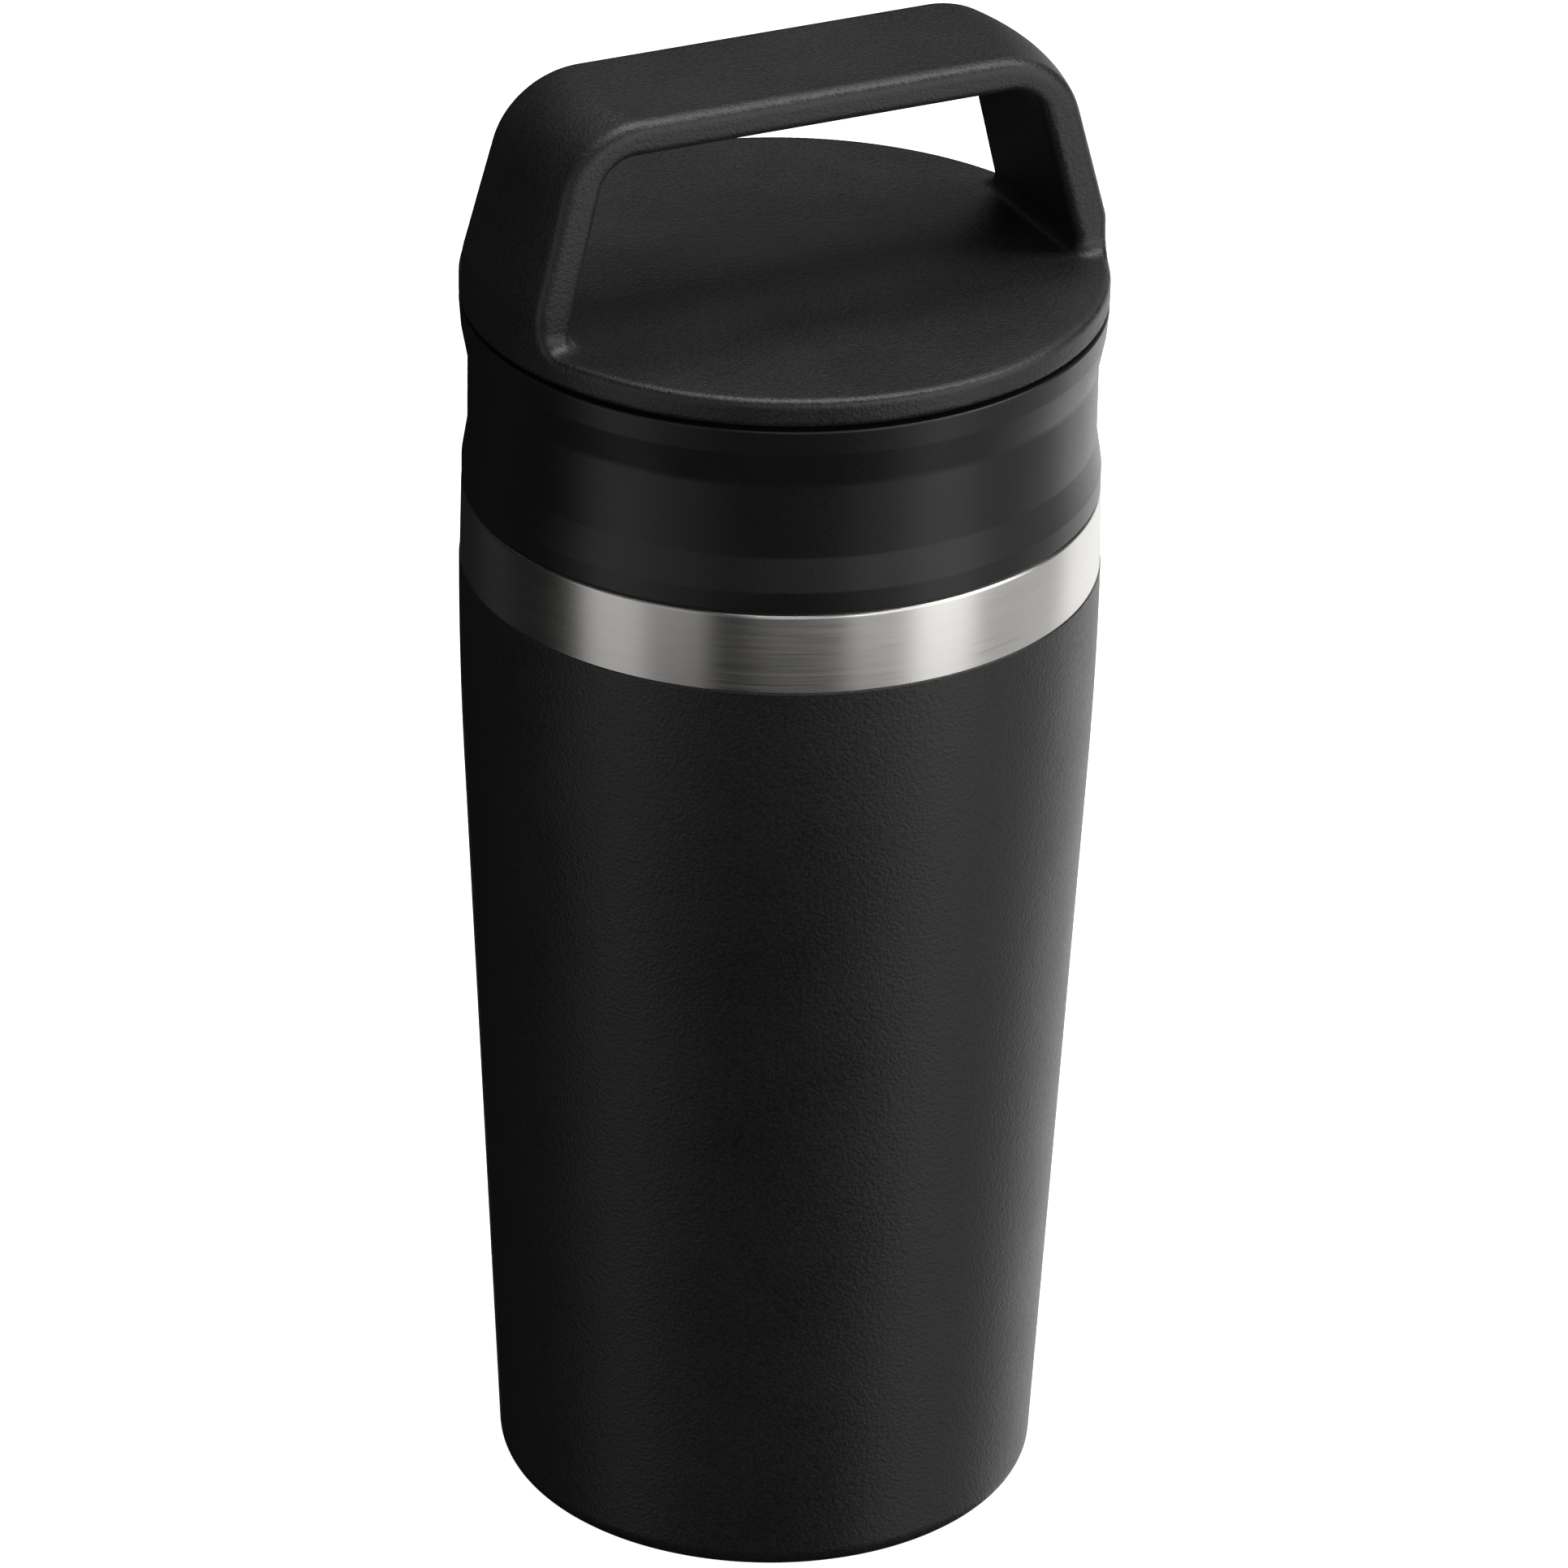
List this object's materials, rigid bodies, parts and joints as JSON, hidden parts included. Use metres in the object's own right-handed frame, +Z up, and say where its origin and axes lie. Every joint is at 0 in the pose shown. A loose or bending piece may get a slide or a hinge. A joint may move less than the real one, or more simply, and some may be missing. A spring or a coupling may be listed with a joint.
{
  "type": "insulated travel mug",
  "caption": "Tapered double-walled steel travel mug with a bare steel band, a screw-in drinking collar and a screw cap with a rigid carrying handle.",
  "frame": {"origin": "centre of the standing face under the base pad", "axes": "+Z up the mug's axis to the handle, the handle spans X, its width is along Y"},
  "size_m": [0.08, 0.08, 0.1941],
  "materials": {
    "powder_coat": "matte",
    "bare_steel": "satin",
    "base_steel": "satin",
    "seal_metal": "satin",
    "getter_metal": "matte",
    "pad_rubber": "matte",
    "gasket_rubber": "satin",
    "collar_plastic": "satin",
    "thread_plastic": "satin",
    "seal_rubber": "satin",
    "cap_plastic": "matte",
    "plug_plastic": "satin",
    "foam": "matte"
  },
  "bodies": {
    "vessel": {"outer_shell": "powder_coat", "inner_shell": "bare_steel", "base_plate": "base_steel", "port_seal": "seal_metal", "getter": "getter_metal", "base_pad": "pad_rubber"},
    "collar_seal_ring": {"collar_gasket": "gasket_rubber"},
    "collar": {"drinking_collar": "collar_plastic", "collar_thread_ring": "thread_plastic"},
    "cap_seal_ring": {"cap_seal": "seal_rubber"},
    "cap": {"cap_shell": "cap_plastic", "cap_plug": "plug_plastic", "cap_foam": "foam"}
  },
  "joints": [
    {"name": "collar_lift", "type": "slide", "parent": "vessel", "child": "collar_seal_ring", "axis": [0, 0, 1], "range_m": [0, 0.01501]},
    {"name": "collar_twist", "type": "hinge", "parent": "collar_seal_ring", "child": "collar", "pos_m": [0, 0, 0.1385], "axis": [0, 0, 1], "range_deg": [0, 540]},
    {"name": "cap_lift", "type": "slide", "parent": "collar", "child": "cap_seal_ring", "axis": [0, 0, 1], "range_m": [0, 0.01801]},
    {"name": "cap_twist", "type": "hinge", "parent": "cap_seal_ring", "child": "cap", "pos_m": [0, 0, 0.1637], "axis": [0, 0, 1], "range_deg": [0, 648]}
  ],
  "couplings": [
    {"joint": "collar_lift", "follows": "collar_twist", "m_per_rad": 0.0015915},
    {"joint": "cap_lift", "follows": "cap_twist", "m_per_rad": 0.0015915}
  ]
}
